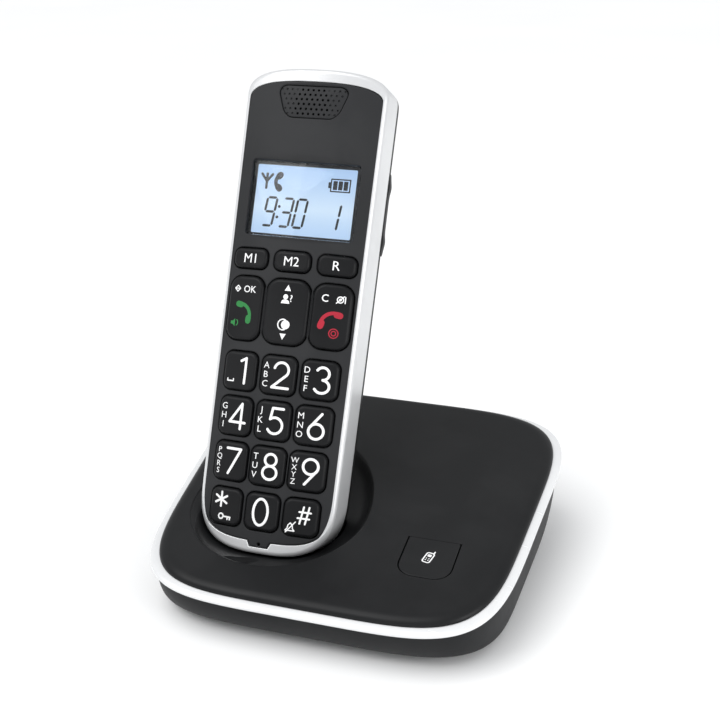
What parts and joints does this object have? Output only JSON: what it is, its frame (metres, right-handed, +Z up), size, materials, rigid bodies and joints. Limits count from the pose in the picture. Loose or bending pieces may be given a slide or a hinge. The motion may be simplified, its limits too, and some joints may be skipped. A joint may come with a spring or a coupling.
{
  "type": "cordless phone with base",
  "caption": "Large-button cordless telephone handset leaning in the dish of a wedge-shaped charging base with a silver rim.",
  "frame": {"origin": "centre of the base's outline at desk height, under the rubber feet", "axes": "+Z up, +Y to the back of the base, +X to the right as the user faces the phone"},
  "size_m": [0.1284, 0.122, 0.1627],
  "materials": {
    "panel_black": "fine satin texture",
    "frame_silver": "satin silver lacquer",
    "shell_black": "fine spark texture",
    "key_black": "smooth satin with printed legends",
    "lens_clear": "clear polished",
    "lcd_glass": "lit pale blue",
    "white_plastic": "diffuse",
    "metal_plain": "plain",
    "gold_plated": "bright plating",
    "board_green": "solder mask",
    "silicone_grey": "matt silicone",
    "cell_wrap": "printed sleeve",
    "deck_black": "satin black",
    "rim_silver": "satin silver lacquer",
    "rubber_black": "matt",
    "socket_black": "plain moulded"
  },
  "bodies": {
    "base": {"base_deck": "deck_black", "base_rim": "rim_silver", "base_bottom_shell": "shell_black", "page_switch": "metal_plain", "base_board": "board_green", "base_antenna": "gold_plated", "pin_springs": "metal_plain", "pin_carrier": "socket_black", "line_socket": "socket_black", "power_socket": "socket_black", "rubber_feet": "rubber_black", "base_screws": "metal_plain"},
    "handset": {"handset_front_panel": "panel_black", "handset_frame": "frame_silver", "handset_rear_shell": "shell_black", "lcd_lens": "lens_clear", "lcd_panel": "lcd_glass", "lcd_backlight": "white_plastic", "earpiece_speaker": "metal_plain", "handsfree_speaker": "metal_plain", "microphone": "metal_plain", "keypad_mat": "silicone_grey", "handset_board": "board_green", "handset_antenna": "gold_plated", "battery_cells": "cell_wrap", "battery_springs": "metal_plain", "battery_plates": "metal_plain", "charge_contacts": "gold_plated", "handset_screws": "metal_plain"},
    "key_1": {"key_1": "key_black"},
    "key_2": {"key_2": "key_black"},
    "key_3": {"key_3": "key_black"},
    "key_4": {"key_4": "key_black"},
    "key_5": {"key_5": "key_black"},
    "key_6": {"key_6": "key_black"},
    "key_7": {"key_7": "key_black"},
    "key_8": {"key_8": "key_black"},
    "key_9": {"key_9": "key_black"},
    "key_star": {"key_star": "key_black"},
    "key_0": {"key_0": "key_black"},
    "key_hash": {"key_hash": "key_black"},
    "key_call": {"key_call": "key_black"},
    "key_end": {"key_end": "key_black"},
    "key_m1": {"key_m1": "key_black"},
    "key_m2": {"key_m2": "key_black"},
    "key_recall": {"key_recall": "key_black"},
    "nav_rocker": {"nav_rocker": "key_black"},
    "volume_rocker": {"volume_rocker": "key_black"},
    "battery_door": {"battery_door": "shell_black"},
    "page_key": {"page_key": "deck_black"},
    "charge_pin_left": {"charge_pin_left": "gold_plated"},
    "charge_pin_right": {"charge_pin_right": "gold_plated"}
  },
  "joints": [
    {"name": "handset_lift", "type": "slide", "parent": "base", "child": "handset", "axis": [0, 0.4067, 0.9135], "range_m": [0, 0.12]},
    {"name": "key_1_press", "type": "slide", "parent": "handset", "child": "key_1", "axis": [0, 0.9135, -0.4067], "range_m": [0, 0.0008], "stiffness_N_per_m": 1200},
    {"name": "key_2_press", "type": "slide", "parent": "handset", "child": "key_2", "axis": [0, 0.9135, -0.4067], "range_m": [0, 0.0008], "stiffness_N_per_m": 1200},
    {"name": "key_3_press", "type": "slide", "parent": "handset", "child": "key_3", "axis": [0, 0.9135, -0.4067], "range_m": [0, 0.0008], "stiffness_N_per_m": 1200},
    {"name": "key_4_press", "type": "slide", "parent": "handset", "child": "key_4", "axis": [0, 0.9135, -0.4067], "range_m": [0, 0.0008], "stiffness_N_per_m": 1200},
    {"name": "key_5_press", "type": "slide", "parent": "handset", "child": "key_5", "axis": [0, 0.9135, -0.4067], "range_m": [0, 0.0008], "stiffness_N_per_m": 1200},
    {"name": "key_6_press", "type": "slide", "parent": "handset", "child": "key_6", "axis": [0, 0.9135, -0.4067], "range_m": [0, 0.0008], "stiffness_N_per_m": 1200},
    {"name": "key_7_press", "type": "slide", "parent": "handset", "child": "key_7", "axis": [0, 0.9135, -0.4067], "range_m": [0, 0.0008], "stiffness_N_per_m": 1200},
    {"name": "key_8_press", "type": "slide", "parent": "handset", "child": "key_8", "axis": [0, 0.9135, -0.4067], "range_m": [0, 0.0008], "stiffness_N_per_m": 1200},
    {"name": "key_9_press", "type": "slide", "parent": "handset", "child": "key_9", "axis": [0, 0.9135, -0.4067], "range_m": [0, 0.0008], "stiffness_N_per_m": 1200},
    {"name": "key_star_press", "type": "slide", "parent": "handset", "child": "key_star", "axis": [0, 0.9135, -0.4067], "range_m": [0, 0.0008], "stiffness_N_per_m": 1200},
    {"name": "key_0_press", "type": "slide", "parent": "handset", "child": "key_0", "axis": [0, 0.9135, -0.4067], "range_m": [0, 0.0008], "stiffness_N_per_m": 1200},
    {"name": "key_hash_press", "type": "slide", "parent": "handset", "child": "key_hash", "axis": [0, 0.9135, -0.4067], "range_m": [0, 0.0008], "stiffness_N_per_m": 1200},
    {"name": "key_call_press", "type": "slide", "parent": "handset", "child": "key_call", "axis": [0, 0.9135, -0.4067], "range_m": [0, 0.0008], "stiffness_N_per_m": 1200},
    {"name": "key_end_press", "type": "slide", "parent": "handset", "child": "key_end", "axis": [0, 0.9135, -0.4067], "range_m": [0, 0.0008], "stiffness_N_per_m": 1200},
    {"name": "key_m1_press", "type": "slide", "parent": "handset", "child": "key_m1", "axis": [0, 0.9135, -0.4067], "range_m": [0, 0.0008], "stiffness_N_per_m": 1200},
    {"name": "key_m2_press", "type": "slide", "parent": "handset", "child": "key_m2", "axis": [0, 0.9135, -0.4067], "range_m": [0, 0.0008], "stiffness_N_per_m": 1200},
    {"name": "key_recall_press", "type": "slide", "parent": "handset", "child": "key_recall", "axis": [0, 0.9135, -0.4067], "range_m": [0, 0.0008], "stiffness_N_per_m": 1200},
    {"name": "nav_rock", "type": "hinge", "parent": "handset", "child": "nav_rocker", "pos_m": [-0.025, 0.00415, 0.08722], "axis": [1, 0, 0], "range_deg": [-3.5, 3.5], "stiffness_Nm_per_rad": 0.5},
    {"name": "volume_rock", "type": "hinge", "parent": "handset", "child": "volume_rocker", "pos_m": [-0.0044, 0.03334, 0.11495], "axis": [0, -0.9135, 0.4067], "range_deg": [-2, 2], "stiffness_Nm_per_rad": 0.3},
    {"name": "battery_door_open", "type": "hinge", "parent": "handset", "child": "battery_door", "pos_m": [-0.025, 0.00482, 0.03712], "axis": [-1, 0, 0], "range_deg": [0, 55]},
    {"name": "page_key_press", "type": "hinge", "parent": "base", "child": "page_key", "pos_m": [0.0324, -0.02147, 0.02187], "axis": [1, 0, 0], "range_deg": [0, 2.6], "stiffness_Nm_per_rad": 0.6},
    {"name": "charge_pin_left_press", "type": "slide", "parent": "base", "child": "charge_pin_left", "axis": [0, -0.9135, 0.4067], "range_m": [-0.001, 0], "stiffness_N_per_m": 300, "springref_m": 0.0005},
    {"name": "charge_pin_right_press", "type": "slide", "parent": "base", "child": "charge_pin_right", "axis": [0, -0.9135, 0.4067], "range_m": [-0.001, 0], "stiffness_N_per_m": 300, "springref_m": 0.0005}
  ]
}
